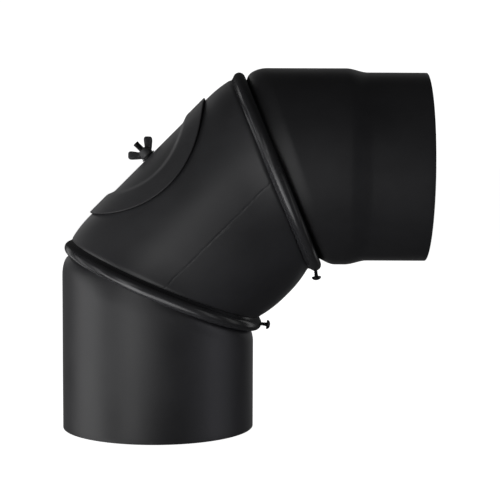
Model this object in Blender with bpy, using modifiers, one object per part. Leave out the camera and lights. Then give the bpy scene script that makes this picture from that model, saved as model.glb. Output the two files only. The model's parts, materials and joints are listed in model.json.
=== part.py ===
"""Adjustable DN 150 flue elbow: three sheet-steel segments on two swivel joints, with a cleaning hatch.

Metres, +Z up. The inlet points down and the outlet points along +X. The origin is the middle of the
footprint, on the plane of the inlet rim. Work frames all turn about Y, so each one is a place and an angle.
"""

import math

import bmesh
import bpy
from mathutils import Matrix, Vector

# Driving dimensions
SHEET = 0.0015
BEND = math.radians(22.5)

INLET_RADIUS = 0.0765
MIDDLE_RADIUS = 0.0780
OUTLET_RADIUS = 0.0780
SPIGOT_RADIUS = 0.07475

INLET_LENGTH = 0.1160
MIDDLE_LENGTH = 0.1320
OUTLET_LENGTH = 0.1195
SPIGOT_LENGTH = 0.0460
SPIGOT_STEP = 0.0180

JOINT_SHIFT = 0.0047
RING_RADIUS = 0.0800
RING_SECTION = 0.0048
RING_SHEET = 0.0010
RING_WRAP = math.radians(144.0)
FLANGE_RADIUS = 0.0812
FLANGE_GAP = 0.00015
GROOVE_RADIUS = 0.0749
GROOVE_FILLET = 0.0012

LEG_SHOULDER = 0.0205
LEG_SHOULDER_SWING = 0.0050
LEG_FOOT = (0.0782, 0.0062)
LEG_FOOT_WAIST = 0.0026
LEG_FOOT_LEAN = 0.6
LEG_STEPS = 5
LEG_STRETCH = 0.32
MIDDLE_SHIFT = 0.00165
MIDDLE_TAPER = 0.0054
MIDDLE_TAPER_LENGTH = 0.0320
MIDDLE_TAPER_POWER = 2.2
MIDDLE_TAPER_RELIEF = 1.65
MIDDLE_SHOULDER = 0.0102
MIDDLE_SHOULDER_SWING = 0.0022
MIDDLE_FOOT = (0.0799, 0.0056)
MIDDLE_FOOT_SWING = 0.0003
MIDDLE_FOOT_WAIST = 0.0018
MIDDLE_STEPS = 5
MIDDLE_STRETCH = 0.35

SEAL_RADIUS = 0.0824
SEAL_THICKNESS = 0.0016
SEAL_OPENING = math.radians(2.6)

SCREW_TILT = math.radians(15.0)
SCREW_SHANK = 0.00155
SCREW_HEAD = 0.0037
SCREW_HEAD_HEIGHT = 0.0030
SCREW_HEAD_RIM = 0.0007
SCREW_EDGE = 0.0003
SCREW_TIP = 0.0023
SCREW_POINT = 0.0006
SCREW_RECESS = (0.0038, 0.0008, 0.0026)
LOWER_SCREW_STANDOFF = 0.0090
UPPER_SCREW_STANDOFF = 0.0098

HATCH_HOLE = 0.0485
COVER_SHEET = 0.0012
COVER_RADIUS = 0.0802
COVER_HALF_LENGTH = 0.0640
COVER_HALF_GIRTH = 0.0700
COVER_DISH = 0.0023
DISH_FLOOR = 0.0375
DISH_EDGE = 0.0462
DISH_STRETCH = 0.28
GASKET_SHEET = 0.0005
GASKET_INNER = 0.0500
GASKET_OUTER = 0.0615

BRIDGE_LENGTH = 0.1080
BRIDGE_WIDTH = 0.0240
BRIDGE_SHEET = 0.0025
BRIDGE_DROP = 0.0536
BRIDGE_EDGE = 0.0008
BOLT_RADIUS = 0.00245
BOLT_TIP = 0.0932
BOLT_HEAD_RADIUS = 0.0065
BOLT_HEAD_HEIGHT = 0.0030
BOLT_NECK = 0.0048
BOLT_CHAMFER = 0.0003
WASHER_RADIUS = 0.0062
WASHER_SHEET = 0.0010
NUT_BASE_RADIUS = 0.0055
NUT_TOP_RADIUS = 0.0045
NUT_HEIGHT = 0.0065
WING_LENGTH = 0.0124
WING_WIDTH = 0.0062
WING_THICKNESS = 0.0024
WING_ROOT = (0.0040, 0.0030)
WING_OVERLAP = 0.0015
WING_SPLAY = math.radians(44.0)
WING_TURN = math.radians(22.0)

FIT_GAP = 0.0003
AROUND = 40
SMALL_AROUND = 20
HOLE_AROUND = 16
HATCH_AROUND = 48
WING_AROUND = 16
WING_RINGS = 10
BARREL_ROWS = (MIDDLE_TAPER_LENGTH, 0.72 * MIDDLE_TAPER_LENGTH, 0.48 * MIDDLE_TAPER_LENGTH)
FLOOR_ROWS = (0.16, 0.31, 0.47)
RIM_ROWS = (0.79, 0.90, 1.0)
BEVEL_FROM = math.radians(50.0)
SHADE_SPLIT = 35.0

# Places worked out from the driving dimensions
REACH = MIDDLE_LENGTH * math.sin(math.pi / 4)
OUTLET_X = REACH + OUTLET_LENGTH
OUTLET_Z = INLET_LENGTH + REACH
CENTRE_X = (OUTLET_X - INLET_RADIUS) / 2
DISH_TOP = COVER_RADIUS - COVER_DISH


def turned_frame(x, z, angle):
    """Frame at (x, 0, z), measured from the inlet axis, with its Z axis turned from up towards +X."""
    return Matrix.Translation((x - CENTRE_X, 0.0, z)) @ Matrix.Rotation(angle, 4, "Y")


def joint_frame(x, z, angle):
    """Frame on the centre of a joint circle, which sits off the axes' crossing towards the throat."""
    return turned_frame(x, z, angle) @ Matrix.Translation((JOINT_SHIFT, 0.0, 0.0))


INLET_FRAME = turned_frame(0.0, 0.0, 0.0)
OUTLET_FRAME = turned_frame(OUTLET_X, OUTLET_Z, -math.pi / 2) @ Matrix.Rotation(math.pi, 4, "Z")
MIDDLE_CENTRE = Matrix.Translation((MIDDLE_SHIFT, 0.0, 0.0))
MIDDLE_FRAME = turned_frame(REACH / 2, INLET_LENGTH + REACH / 2, 2 * BEND) @ MIDDLE_CENTRE
HATCH_FRAME = MIDDLE_FRAME @ Matrix.Rotation(-math.pi / 2, 4, "Y")
LOWER_JOINT = joint_frame(0.0, INLET_LENGTH, BEND)
UPPER_JOINT = joint_frame(REACH, OUTLET_Z, 3 * BEND)
RING_CREST = Matrix.Translation((RING_RADIUS, 0.0, 0.0)) @ Matrix.Rotation(math.pi / 2, 4, "Y")
LOWER_SCREW = LOWER_JOINT @ RING_CREST @ Matrix.Rotation(-SCREW_TILT, 4, "Y")
UPPER_SCREW = UPPER_JOINT @ RING_CREST @ Matrix.Rotation(SCREW_TILT, 4, "Y")


def clear_scene():
    for item in list(bpy.data.objects):
        bpy.data.objects.remove(item, do_unlink=True)


def make_collection(name):
    collection = bpy.data.collections.new(name)
    bpy.context.scene.collection.children.link(collection)
    return collection


def make_material(name, colour, roughness, metallic):
    material = bpy.data.materials.new(name)
    material.use_nodes = True
    shader = material.node_tree.nodes["Principled BSDF"]
    shader.inputs["Base Color"].default_value = (*colour, 1.0)
    shader.inputs["Roughness"].default_value = roughness
    shader.inputs["Metallic"].default_value = metallic
    material.diffuse_color = (*colour, 1.0)
    return material


def make_empty(name, frame, parts):
    empty = bpy.data.objects.new(name, None)
    empty.empty_display_size = 0.02
    empty.matrix_world = frame
    parts.objects.link(empty)
    return empty


def mesh_from_rows(name, rows):
    """Skin over rows of points, all of the same count, each row going once around."""
    shape = bmesh.new()
    grid = [[shape.verts.new(point) for point in row] for row in rows]
    count = len(rows[0])
    for lower, upper in zip(grid, grid[1:]):
        for k in range(count):
            after = (k + 1) % count
            shape.faces.new((lower[k], lower[after], upper[after], upper[k]))
    mesh = bpy.data.meshes.new(name)
    shape.to_mesh(mesh)
    shape.free()
    return mesh


def profile_mesh(name, points, closed):
    """Outline in the XZ plane for a Screw modifier."""
    shape = bmesh.new()
    verts = [shape.verts.new((radius, 0.0, height)) for radius, height in points]
    for a, b in zip(verts, verts[1:]):
        shape.edges.new((a, b))
    if closed:
        shape.edges.new((verts[-1], verts[0]))
    mesh = bpy.data.meshes.new(name)
    shape.to_mesh(mesh)
    shape.free()
    return mesh


def add_object(name, mesh, built_in, carrier, material, collection):
    """Object whose mesh was built in one frame and whose origin lies on its carrier's axis."""
    mesh.transform(carrier.matrix_world.inverted() @ built_in)
    item = bpy.data.objects.new(name, mesh)
    item.parent = carrier
    if material:
        mesh.materials.append(material)
    collection.objects.link(item)
    return item


def add_cutter(name, mesh, built_in, carrier, cutters):
    cutter = add_object(name, mesh, built_in, carrier, None, cutters)
    cutter.hide_render = True
    cutter.display_type = "WIRE"
    return cutter


def add_boolean(item, cutter, operation="DIFFERENCE"):
    modifier = item.modifiers.new(cutter.name, "BOOLEAN")
    modifier.operation = operation
    modifier.solver = "EXACT"
    modifier.object = cutter
    return modifier


def add_solidify(item, thickness):
    modifier = item.modifiers.new("sheet", "SOLIDIFY")
    modifier.thickness = thickness
    modifier.offset = -1.0
    modifier.use_even_offset = True
    modifier.use_quality_normals = True
    return modifier


def add_screw(item, steps):
    modifier = item.modifiers.new("turn", "SCREW")
    modifier.axis = "Z"
    modifier.steps = steps
    modifier.render_steps = steps
    modifier.use_merge_vertices = True
    modifier.merge_threshold = 0.00001
    modifier.use_normal_calculate = False
    return modifier


def add_bevel(item, width, segments):
    modifier = item.modifiers.new("edges", "BEVEL")
    modifier.width = width
    modifier.segments = segments
    modifier.limit_method = "ANGLE"
    modifier.angle_limit = BEVEL_FROM
    return modifier


def shade_round(item, angle=SHADE_SPLIT):
    item.data.shade_smooth()
    item.data.set_sharp_from_angle(angle=math.radians(angle))


def cylinder_mesh(name, radius, low, high, sides, top_radius=None):
    shape = bmesh.new()
    top = radius if top_radius is None else top_radius
    bmesh.ops.create_cone(
        shape, cap_ends=True, segments=sides, radius1=radius, radius2=top, depth=high - low
    )
    bmesh.ops.translate(shape, verts=shape.verts, vec=(0.0, 0.0, (low + high) / 2))
    mesh = bpy.data.meshes.new(name)
    shape.to_mesh(mesh)
    shape.free()
    return mesh


def box_mesh(name, size, centre):
    shape = bmesh.new()
    bmesh.ops.create_cube(shape, size=1.0)
    bmesh.ops.scale(shape, verts=shape.verts, vec=size)
    bmesh.ops.translate(shape, verts=shape.verts, vec=centre)
    mesh = bpy.data.meshes.new(name)
    shape.to_mesh(mesh)
    shape.free()
    return mesh


def turn_angles():
    return [2 * math.pi * k / AROUND for k in range(AROUND)]


def bezier(start, start_handle, end_handle, end, steps):
    """Points strictly between the two ends of a cubic curve."""
    points = []
    for k in range(1, steps):
        t = k / steps
        s = 1 - t
        points.append(
            s ** 3 * start + 3 * s * s * t * start_handle + 3 * s * t * t * end_handle + t ** 3 * end
        )
    return points


def collar_profile():
    """Outer skin from the flange's edge round the groove.

    Its points are radii about the joint's axis and heights off the joint's plane.
    """
    face = FLANGE_GAP + SHEET
    profile = [(FLANGE_RADIUS, face)]
    for degrees in (270, 225, 180, 140):
        angle = math.radians(degrees)
        radius = GROOVE_RADIUS + GROOVE_FILLET * (1 + math.cos(angle))
        profile.append((radius, face + GROOVE_FILLET * (1 + math.sin(angle))))
    return profile


def segment_end(wall_point, wall_direction, crossing, foot, steps, stretch):
    """Points of one skin line, for each angle, from the pipe wall to the flange's edge.

    wall_point gives where the line leaves the wall, crossing is where the pipe's axis meets the joint's
    plane, and foot gives the end of the shoulder's curve.
    """
    normal = Vector((math.sin(BEND), 0.0, math.cos(BEND)))
    throat = Vector((math.cos(BEND), 0.0, -math.sin(BEND)))
    centre = crossing + throat * JOINT_SHIFT
    lines = []
    for angle in turn_angles():
        radial = throat * math.cos(angle) + Vector((0.0, math.sin(angle), 0.0))
        profile = collar_profile() + [foot(angle)]
        collar = [centre + radial * radius - normal * height for radius, height in profile]
        leave = wall_point(angle)
        arrive = collar[-1]
        reach = (arrive - leave).length * stretch
        into = (collar[-2] - arrive).normalized()
        shoulder = bezier(
            leave, leave + wall_direction(angle) * reach, arrive - into * reach, arrive, steps
        )
        lines.append([leave, *shoulder, arrive, *reversed(collar[:-1])])
    return lines


def leg_foot(angle):
    """End of a leg's shoulder, which draws in at the sides."""
    waist = LEG_FOOT_WAIST * math.sin(angle) ** 2 * (1 - LEG_FOOT_LEAN * math.cos(angle))
    return (LEG_FOOT[0] - waist, LEG_FOOT[1])


def leg_mesh(name, length, radius, wall):
    """Leg with its rim at Z = 0 and its swivel joint at the top. wall lists (radius, height) from the rim."""

    def leaves_wall(angle):
        mitre = length - radius * math.tan(BEND) * math.cos(angle)
        shoulder = LEG_SHOULDER - LEG_SHOULDER_SWING * math.cos(angle)
        return Vector((radius * math.cos(angle), radius * math.sin(angle), mitre - shoulder))

    ends = segment_end(
        leaves_wall,
        lambda angle: Vector((0.0, 0.0, 1.0)),
        Vector((0.0, 0.0, length)),
        leg_foot,
        LEG_STEPS,
        LEG_STRETCH,
    )
    straight = [
        [Vector((r * math.cos(angle), r * math.sin(angle), height)) for angle in turn_angles()]
        for r, height in wall
    ]
    rows = straight + [list(row) for row in zip(*ends)]
    return mesh_from_rows(name, rows)


def make_inlet(material, carrier, parts):
    mesh = leg_mesh("inlet_pipe", INLET_LENGTH, INLET_RADIUS, [(INLET_RADIUS, 0.0)])
    item = add_object("inlet_pipe", mesh, INLET_FRAME, carrier, material, parts)
    add_solidify(item, SHEET)
    shade_round(item)
    return item


def make_outlet(material, carrier, parts):
    wall = [(SPIGOT_RADIUS, 0.0), (SPIGOT_RADIUS, SPIGOT_LENGTH)]
    steps = 4
    for k in range(1, steps + 1):
        share = (1 - math.cos(math.pi * k / steps)) / 2
        radius = SPIGOT_RADIUS + (OUTLET_RADIUS - SPIGOT_RADIUS) * share
        wall.append((radius, SPIGOT_LENGTH + SPIGOT_STEP * k / steps))
    mesh = leg_mesh("outlet_pipe", OUTLET_LENGTH, OUTLET_RADIUS, wall)
    item = add_object("outlet_pipe", mesh, OUTLET_FRAME, carrier, material, parts)
    add_solidify(item, SHEET)
    shade_round(item)
    return item


def middle_wall(angle, distance):
    """Point on the middle segment's lower half, a distance short of the joint's plane, as a slight barrel."""
    share = max(0.0, MIDDLE_TAPER_LENGTH - distance) / MIDDLE_TAPER_LENGTH
    relief = 1 - MIDDLE_TAPER_RELIEF * math.sin(angle) ** 2
    radius = MIDDLE_RADIUS - MIDDLE_TAPER * relief * share ** MIDDLE_TAPER_POWER
    mitre = MIDDLE_LENGTH / 2 - (MIDDLE_RADIUS * math.cos(angle) + MIDDLE_SHIFT) * math.tan(BEND)
    return Vector((radius * math.cos(angle), radius * math.sin(angle), distance - mitre))


def make_middle(material, carrier, parts, cutters):
    def shoulder(angle):
        return MIDDLE_SHOULDER - MIDDLE_SHOULDER_SWING * math.cos(angle)

    def foot(angle):
        swing = MIDDLE_FOOT_SWING * math.cos(angle) + MIDDLE_FOOT_WAIST * math.sin(angle) ** 2
        return (MIDDLE_FOOT[0] - swing, MIDDLE_FOOT[1])

    def towards_joint(angle):
        start = shoulder(angle)
        return (middle_wall(angle, start) - middle_wall(angle, start + SHEET)).normalized()

    mirror = Matrix.Scale(-1.0, 4, (0.0, 0.0, 1.0))
    flipped = segment_end(
        lambda angle: mirror @ middle_wall(angle, shoulder(angle)),
        lambda angle: mirror @ towards_joint(angle),
        Vector((-MIDDLE_SHIFT, 0.0, MIDDLE_LENGTH / 2)),
        foot,
        MIDDLE_STEPS,
        MIDDLE_STRETCH,
    )
    barrel = [
        [mirror @ middle_wall(angle, distance) for angle in turn_angles()]
        for distance in BARREL_ROWS
    ]
    waist = [
        Vector((MIDDLE_RADIUS * math.cos(angle), MIDDLE_RADIUS * math.sin(angle), 0.0))
        for angle in turn_angles()
    ]
    upper = barrel + [list(row) for row in zip(*flipped)]
    lower = [[mirror @ point for point in row] for row in reversed(upper)]
    mesh = mesh_from_rows("middle_pipe", lower + [waist] + upper)
    item = add_object("middle_pipe", mesh, MIDDLE_FRAME, carrier, material, parts)
    add_solidify(item, SHEET)
    hole = cylinder_mesh("hatch_hole", HATCH_HOLE, MIDDLE_RADIUS / 2, MIDDLE_RADIUS * 1.5, HATCH_AROUND)
    add_boolean(item, add_cutter("hatch_hole", hole, HATCH_FRAME, carrier, cutters))
    shade_round(item)
    return item


def make_ring(name, frame, screw_frame, material, carrier, parts, cutters):
    """Rolled ring of C section, open towards the axis, which holds both flanges."""
    outer = []
    inner = []
    steps = 6
    for k in range(steps + 1):
        angle = RING_WRAP * (1 - 2 * k / steps)
        reach = (math.cos(angle), math.sin(angle))
        hollow = RING_SECTION - RING_SHEET
        outer.append((RING_RADIUS + RING_SECTION * reach[0], RING_SECTION * reach[1]))
        inner.append((RING_RADIUS + hollow * reach[0], hollow * reach[1]))
    mesh = profile_mesh(name, outer + inner[::-1], closed=True)
    item = add_object(name, mesh, frame, carrier, material, parts)
    add_screw(item, AROUND)
    low = RING_SECTION - 2 * RING_SHEET
    high = RING_SECTION + 2 * RING_SHEET
    hole = cylinder_mesh(name + "_hole", SCREW_SHANK + FIT_GAP, low, high, HOLE_AROUND)
    add_boolean(item, add_cutter(name + "_hole", hole, screw_frame, carrier, cutters))
    item.data.shade_smooth()
    return item


def make_seal(name, frame, material, carrier, parts):
    """Sealing cord in the ring, with its two ends either side of the locking screw."""
    curve = bpy.data.curves.new(name, "CURVE")
    curve.dimensions = "3D"
    curve.bevel_depth = SEAL_THICKNESS / 2
    curve.bevel_resolution = 1
    curve.use_fill_caps = True
    spline = curve.splines.new("POLY")
    count = AROUND + 1
    spline.points.add(count - 1)
    for k in range(count):
        angle = SEAL_OPENING + (2 * math.pi - 2 * SEAL_OPENING) * k / (count - 1)
        place = (SEAL_RADIUS * math.cos(angle), SEAL_RADIUS * math.sin(angle), 0.0, 1.0)
        spline.points[k].co = place
    curve.materials.append(material)
    item = bpy.data.objects.new(name, curve)
    item.parent = carrier
    item.matrix_parent_inverse = carrier.matrix_world.inverted() @ frame
    parts.objects.link(item)
    return item


def make_locking_screw(name, frame, standoff, material, carrier, parts, cutters):
    """Pan-head screw along Z, from its tip inside the ring to its domed head."""
    crown = standoff + SCREW_HEAD_HEIGHT
    points = [(0.0, crown)]
    for degrees in (22, 45, 68):
        angle = math.radians(degrees)
        height = standoff + SCREW_HEAD_RIM + (SCREW_HEAD_HEIGHT - SCREW_HEAD_RIM) * math.cos(angle)
        points.append((SCREW_HEAD * math.sin(angle), height))
    points.append((SCREW_HEAD, standoff + SCREW_HEAD_RIM - SCREW_EDGE / 3))
    points.append((SCREW_HEAD - SCREW_EDGE, standoff))
    points.append((SCREW_SHANK, standoff))
    points.append((SCREW_SHANK, SCREW_TIP + SCREW_POINT))
    points.append((SCREW_SHANK - SCREW_POINT, SCREW_TIP))
    points.append((0.0, SCREW_TIP))
    mesh = profile_mesh(name, points, closed=False)
    item = add_object(name, mesh, frame, carrier, material, parts)
    add_screw(item, SMALL_AROUND)
    for number in range(2):
        slot = box_mesh(name + "_slot", SCREW_RECESS, (0.0, 0.0, crown))
        slot.transform(Matrix.Rotation(number * math.pi / 2, 4, "Z"))
        cutter = add_cutter(f"{name}_slot_{number}", slot, frame, carrier, cutters)
        add_boolean(item, cutter)
    shade_round(item)
    return item


def stretched(share, angle):
    """Share of the disc's radius, moved outwards between its centre and its edge at the pipe's sides."""
    return share + DISH_STRETCH * share * (1 - share) * math.sin(angle) ** 2


def bent_disc(name, radii, surface, half_length, half_girth):
    """Disc with a hole, bent round the middle segment.

    surface gives the height at each share of the disc's radius.
    """
    sides = 40
    rows = []
    for share in radii:
        row = []
        for k in range(sides):
            angle = 2 * math.pi * k / sides
            radius = surface(share)
            reach = stretched(share, angle)
            turn = half_girth * reach * math.sin(angle) / MIDDLE_RADIUS
            along = half_length * reach * math.cos(angle)
            row.append(Vector((along, radius * math.sin(turn), radius * math.cos(turn))))
        rows.append(row)
    return mesh_from_rows(name, rows[::-1])


def make_cover(material, carrier, parts):
    floor = DISH_FLOOR / COVER_HALF_LENGTH
    edge = DISH_EDGE / COVER_HALF_LENGTH
    hole = (BOLT_RADIUS + FIT_GAP) / COVER_HALF_LENGTH

    def surface(share):
        climb = min(1.0, max(0.0, (share - floor) / (edge - floor)))
        return DISH_TOP + COVER_DISH * climb

    radii = (hole, *FLOOR_ROWS, floor, edge, *RIM_ROWS)
    mesh = bent_disc("hatch_cover", radii, surface, COVER_HALF_LENGTH, COVER_HALF_GIRTH)
    item = add_object("hatch_cover", mesh, HATCH_FRAME, carrier, material, parts)
    add_solidify(item, COVER_SHEET)
    shade_round(item)
    return item


def make_gasket(material, carrier, parts):
    inner = GASKET_INNER / COVER_HALF_LENGTH
    outer = GASKET_OUTER / COVER_HALF_LENGTH
    top = MIDDLE_RADIUS + FIT_GAP + GASKET_SHEET
    radii = (inner, (inner + outer) / 2, outer)
    mesh = bent_disc("hatch_gasket", radii, lambda share: top, COVER_HALF_LENGTH, COVER_HALF_GIRTH)
    item = add_object("hatch_gasket", mesh, HATCH_FRAME, carrier, material, parts)
    add_solidify(item, GASKET_SHEET)
    shade_round(item)
    return item


def make_bridge(material, carrier, parts, cutters):
    """Flat bar across the hole, inside the pipe, with a square hole for the bolt's neck."""
    size = (BRIDGE_WIDTH, BRIDGE_LENGTH, BRIDGE_SHEET)
    mesh = box_mesh("clamp_bridge", size, (0.0, 0.0, BRIDGE_DROP - BRIDGE_SHEET / 2))
    item = add_object("clamp_bridge", mesh, HATCH_FRAME, carrier, material, parts)
    add_bevel(item, BRIDGE_EDGE, 1)
    side = BOLT_NECK + 2 * FIT_GAP
    hole = box_mesh("bridge_hole", (side, side, 6 * BRIDGE_SHEET), (0.0, 0.0, BRIDGE_DROP))
    add_boolean(item, add_cutter("bridge_hole", hole, HATCH_FRAME, carrier, cutters))
    return item


def make_bolt(material, carrier, parts, cutters):
    """Carriage bolt: domed head under the bridge, square neck in it, threaded shank to the outside."""
    seat = BRIDGE_DROP - BRIDGE_SHEET - FIT_GAP
    points = [
        (0.0, BOLT_TIP),
        (BOLT_RADIUS - BOLT_CHAMFER, BOLT_TIP),
        (BOLT_RADIUS, BOLT_TIP - BOLT_CHAMFER),
        (BOLT_RADIUS, seat),
        (BOLT_HEAD_RADIUS, seat),
    ]
    for degrees in (20, 45, 70):
        angle = math.radians(degrees)
        depth = BOLT_HEAD_HEIGHT * math.sin(angle)
        points.append((BOLT_HEAD_RADIUS * math.cos(angle), seat - depth))
    points.append((0.0, seat - BOLT_HEAD_HEIGHT))
    mesh = profile_mesh("clamp_bolt", points, closed=False)
    item = add_object("clamp_bolt", mesh, HATCH_FRAME, carrier, material, parts)
    add_screw(item, SMALL_AROUND)
    neck_height = BRIDGE_SHEET + FIT_GAP
    size = (BOLT_NECK, BOLT_NECK, neck_height + 2 * FIT_GAP)
    neck = box_mesh("bolt_neck", size, (0.0, 0.0, seat + neck_height / 2))
    add_boolean(item, add_cutter("bolt_neck", neck, HATCH_FRAME, carrier, cutters), "UNION")
    shade_round(item)
    return item


def make_washer(material, carrier, parts):
    low = DISH_TOP + FIT_GAP
    hole = BOLT_RADIUS + FIT_GAP
    points = [
        (hole, low + WASHER_SHEET),
        (WASHER_RADIUS, low + WASHER_SHEET),
        (WASHER_RADIUS, low),
        (hole, low),
    ]
    mesh = profile_mesh("hatch_washer", points, closed=True)
    item = add_object("hatch_washer", mesh, HATCH_FRAME, carrier, material, parts)
    add_screw(item, SMALL_AROUND)
    return item


def make_wing_nut(material, carrier, parts, cutters):
    """Hub turned about the bolt, joined to two rounded wings that lean outwards."""
    base = DISH_TOP + WASHER_SHEET + 2 * FIT_GAP
    hub = cylinder_mesh(
        "wing_nut", NUT_BASE_RADIUS, base, base + NUT_HEIGHT, SMALL_AROUND, NUT_TOP_RADIUS
    )
    turn = Matrix.Rotation(WING_TURN, 4, "Z")
    item = add_object("wing_nut", hub, HATCH_FRAME @ turn, carrier, material, parts)
    for number, side in enumerate((1, -1)):
        wing = bpy.data.meshes.new(f"wing_{number}")
        shape = bmesh.new()
        bmesh.ops.create_uvsphere(shape, u_segments=WING_AROUND, v_segments=WING_RINGS, radius=0.5)
        shape.to_mesh(wing)
        shape.free()
        wing.transform(Matrix.Diagonal((WING_WIDTH, WING_THICKNESS, WING_LENGTH, 1.0)))
        lift = Matrix.Translation((side * WING_ROOT[0], 0.0, base + WING_ROOT[1]))
        lean = Matrix.Rotation(side * WING_SPLAY, 4, "Y")
        out = Matrix.Translation((0.0, 0.0, WING_LENGTH / 2 - WING_OVERLAP))
        wing.transform(turn @ lift @ lean @ out)
        cutter = add_cutter(f"wing_{number}", wing, HATCH_FRAME, carrier, cutters)
        add_boolean(item, cutter, "UNION")
    over = 2 * WING_LENGTH
    bore = cylinder_mesh("nut_bore", BOLT_RADIUS + FIT_GAP, base - NUT_HEIGHT, base + over, SMALL_AROUND)
    add_boolean(item, add_cutter("nut_bore", bore, HATCH_FRAME, carrier, cutters))
    shade_round(item)
    return item


def main():
    clear_scene()
    parts = make_collection("flue_elbow")
    cutters = make_collection("cutters")

    paint = make_material("stove_paint", (0.022, 0.022, 0.024), 0.45, 0.0)
    hatch_paint = make_material("hatch_paint", (0.030, 0.030, 0.032), 0.5, 0.0)
    ring_paint = make_material("ring_paint", (0.026, 0.026, 0.028), 0.4, 0.0)
    black_steel = make_material("black_steel", (0.012, 0.012, 0.013), 0.4, 0.6)
    raw_steel = make_material("raw_steel", (0.28, 0.28, 0.29), 0.45, 1.0)
    fibre = make_material("sealing_fibre", (0.30, 0.29, 0.27), 0.95, 0.0)

    inlet_axis = make_empty("inlet_axis", INLET_FRAME, parts)
    lower_axis = make_empty("lower_swivel_axis", LOWER_JOINT, parts)
    upper_axis = make_empty("upper_swivel_axis", UPPER_JOINT, parts)
    hatch_axis = make_empty("hatch_axis", HATCH_FRAME, parts)
    lower_screw_axis = make_empty("lower_screw_axis", LOWER_SCREW, parts)
    upper_screw_axis = make_empty("upper_screw_axis", UPPER_SCREW, parts)
    bpy.context.view_layer.update()

    make_inlet(paint, inlet_axis, parts)
    make_middle(paint, lower_axis, parts, cutters)
    make_outlet(paint, upper_axis, parts)
    make_ring("lower_swivel_ring", LOWER_JOINT, LOWER_SCREW, ring_paint, lower_axis, parts, cutters)
    make_ring("upper_swivel_ring", UPPER_JOINT, UPPER_SCREW, ring_paint, upper_axis, parts, cutters)
    make_seal("lower_joint_seal", LOWER_JOINT, fibre, lower_axis, parts)
    make_seal("upper_joint_seal", UPPER_JOINT, fibre, upper_axis, parts)
    make_locking_screw(
        "lower_locking_screw", LOWER_SCREW, LOWER_SCREW_STANDOFF, black_steel, lower_screw_axis,
        parts, cutters,
    )
    make_locking_screw(
        "upper_locking_screw", UPPER_SCREW, UPPER_SCREW_STANDOFF, black_steel, upper_screw_axis,
        parts, cutters,
    )
    make_cover(hatch_paint, hatch_axis, parts)
    make_gasket(fibre, hatch_axis, parts)
    make_bridge(raw_steel, hatch_axis, parts, cutters)
    make_bolt(black_steel, hatch_axis, parts, cutters)
    make_washer(black_steel, hatch_axis, parts)
    make_wing_nut(black_steel, hatch_axis, parts, cutters)


main()
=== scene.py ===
"""Looks of the adjustable flue elbow: fine meshes, materials, studio light and the camera.

Everything is in metres in the CAD frame. Joint places and axes come from the frame, and the
sheet's section follows the same driving dimensions as the CAD.
"""

import json
import math

import bmesh
import bpy
from mathutils import Matrix, Vector, noise


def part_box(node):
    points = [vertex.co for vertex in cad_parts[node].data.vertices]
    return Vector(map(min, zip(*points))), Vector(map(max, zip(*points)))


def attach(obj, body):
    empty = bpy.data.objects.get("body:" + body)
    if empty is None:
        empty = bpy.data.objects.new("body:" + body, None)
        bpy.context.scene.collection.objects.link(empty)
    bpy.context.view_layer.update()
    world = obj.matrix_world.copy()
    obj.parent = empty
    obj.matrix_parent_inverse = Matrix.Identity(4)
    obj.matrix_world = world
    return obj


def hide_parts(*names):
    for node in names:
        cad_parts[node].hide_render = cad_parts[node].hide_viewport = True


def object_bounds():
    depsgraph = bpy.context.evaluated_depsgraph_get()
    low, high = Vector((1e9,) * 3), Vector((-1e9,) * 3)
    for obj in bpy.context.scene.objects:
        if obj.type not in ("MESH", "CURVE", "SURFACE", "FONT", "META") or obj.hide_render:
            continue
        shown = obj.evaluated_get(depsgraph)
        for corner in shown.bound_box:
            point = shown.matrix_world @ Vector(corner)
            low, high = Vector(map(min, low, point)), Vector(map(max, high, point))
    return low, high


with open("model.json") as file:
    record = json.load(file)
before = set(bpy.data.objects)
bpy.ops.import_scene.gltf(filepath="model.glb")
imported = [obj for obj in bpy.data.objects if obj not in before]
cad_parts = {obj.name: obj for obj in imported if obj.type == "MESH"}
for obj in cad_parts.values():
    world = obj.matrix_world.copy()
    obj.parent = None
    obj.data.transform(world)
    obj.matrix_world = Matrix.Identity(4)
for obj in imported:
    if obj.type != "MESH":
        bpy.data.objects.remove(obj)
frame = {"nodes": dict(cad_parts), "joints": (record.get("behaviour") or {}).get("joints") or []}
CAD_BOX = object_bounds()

# Sheet metal, as in the CAD
SHEET = 0.0015
BEND = math.radians(22.5)
INLET_RADIUS = 0.0765
MIDDLE_RADIUS = 0.0780
OUTLET_RADIUS = 0.0780
SPIGOT_RADIUS = 0.07475
SPIGOT_LENGTH = 0.0460
SPIGOT_STEP = 0.0180
JOINT_SHIFT = 0.0047
RING_RADIUS = 0.0800
RING_SECTION = 0.0048
RING_SHEET = 0.0010
RING_WRAP = 144.0
SKIRT_ANGLE = 48.0
SKIRT_REACH = 0.0064
SKIRT_RISE = 0.0009
SKIRT_SAG = 0.0002
SKIRT_SHEET = 0.0007
FLANGE_RADIUS = 0.0812
FLANGE_MIDDLE = 0.0785
FLANGE_GAP = 0.00015
GROOVE_RADIUS = 0.0749
GROOVE_FILLET = 0.0012
GROOVE_ARC = (270, 140)
LEG_SHOULDER = 0.0205
LEG_SHOULDER_SWING = 0.0050
LEG_FOOT = (0.0782, 0.0062)
LEG_FOOT_WAIST = 0.0026
LEG_FOOT_LEAN = 0.6
LEG_STRETCH = 0.32
MIDDLE_SHIFT = 0.00165
MIDDLE_TAPER = 0.0054
MIDDLE_TAPER_LENGTH = 0.0320
MIDDLE_TAPER_POWER = 2.2
MIDDLE_TAPER_RELIEF = 1.65
MIDDLE_SHOULDER = 0.0102
MIDDLE_SHOULDER_SWING = 0.0022
MIDDLE_FOOT = (0.0799, 0.0056)
MIDDLE_FOOT_SWING = 0.0003
MIDDLE_FOOT_WAIST = 0.0018
MIDDLE_STRETCH = 0.35

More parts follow.
